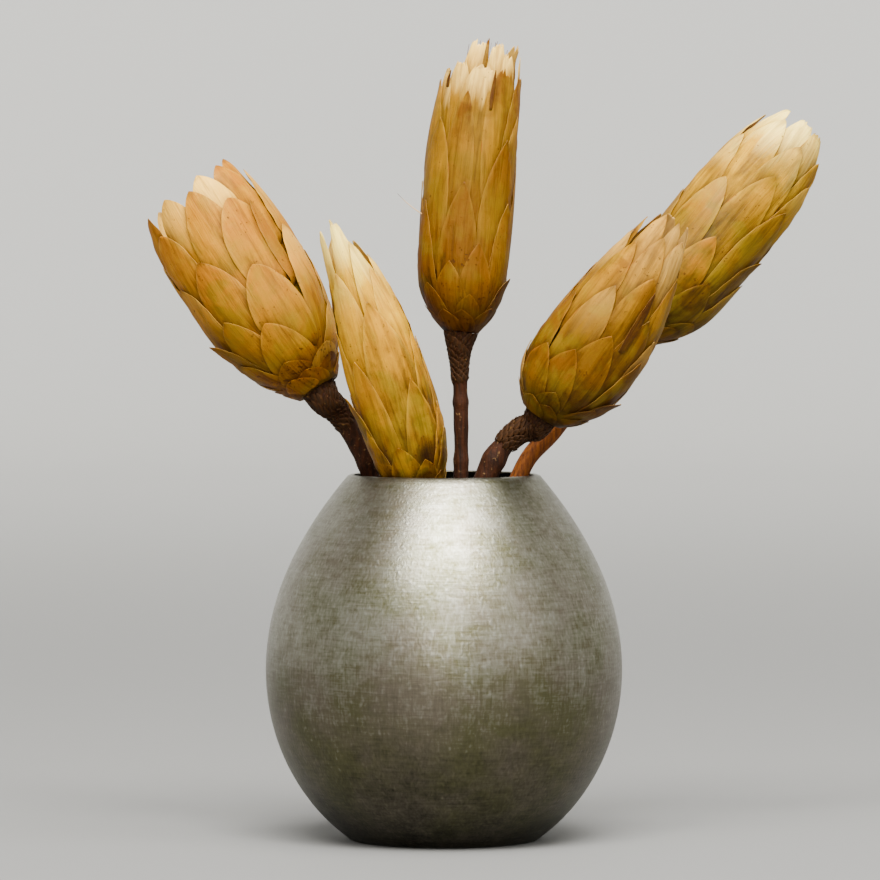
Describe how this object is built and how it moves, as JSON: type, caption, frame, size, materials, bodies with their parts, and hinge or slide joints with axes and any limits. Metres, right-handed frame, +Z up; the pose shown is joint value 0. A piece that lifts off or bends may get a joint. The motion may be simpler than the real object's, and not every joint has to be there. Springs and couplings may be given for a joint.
{
  "type": "protea flowers in a vase",
  "caption": "Dried protea flowers with overlapping ochre bracts on brown woody stems, standing loose in an egg-shaped vase of aged brushed metal.",
  "frame": {"origin": "centre of the vase's flat underside", "axes": "+Z up along the vase's axis, -Y towards the viewer of the picture, +X to the viewer's right"},
  "size_m": [0.2469, 0.1284, 0.2876],
  "materials": {
    "vase_metal": "satin",
    "bark": "matte",
    "pale_bark": "matte",
    "bracts": "satin",
    "florets": "matte"
  },
  "bodies": {
    "root": {"vase": "vase_metal", "stem_left": "bark", "bracts_left": "bracts", "florets_left": "florets", "stem_low": "bark", "bracts_low": "bracts", "florets_low": "florets", "stem_tall": "bark", "bracts_tall": "bracts", "florets_tall": "florets", "stem_right": "bark", "bracts_right": "bracts", "florets_right": "florets", "stem_rear": "pale_bark", "bracts_rear": "bracts", "florets_rear": "florets"}
  },
  "joints": []
}
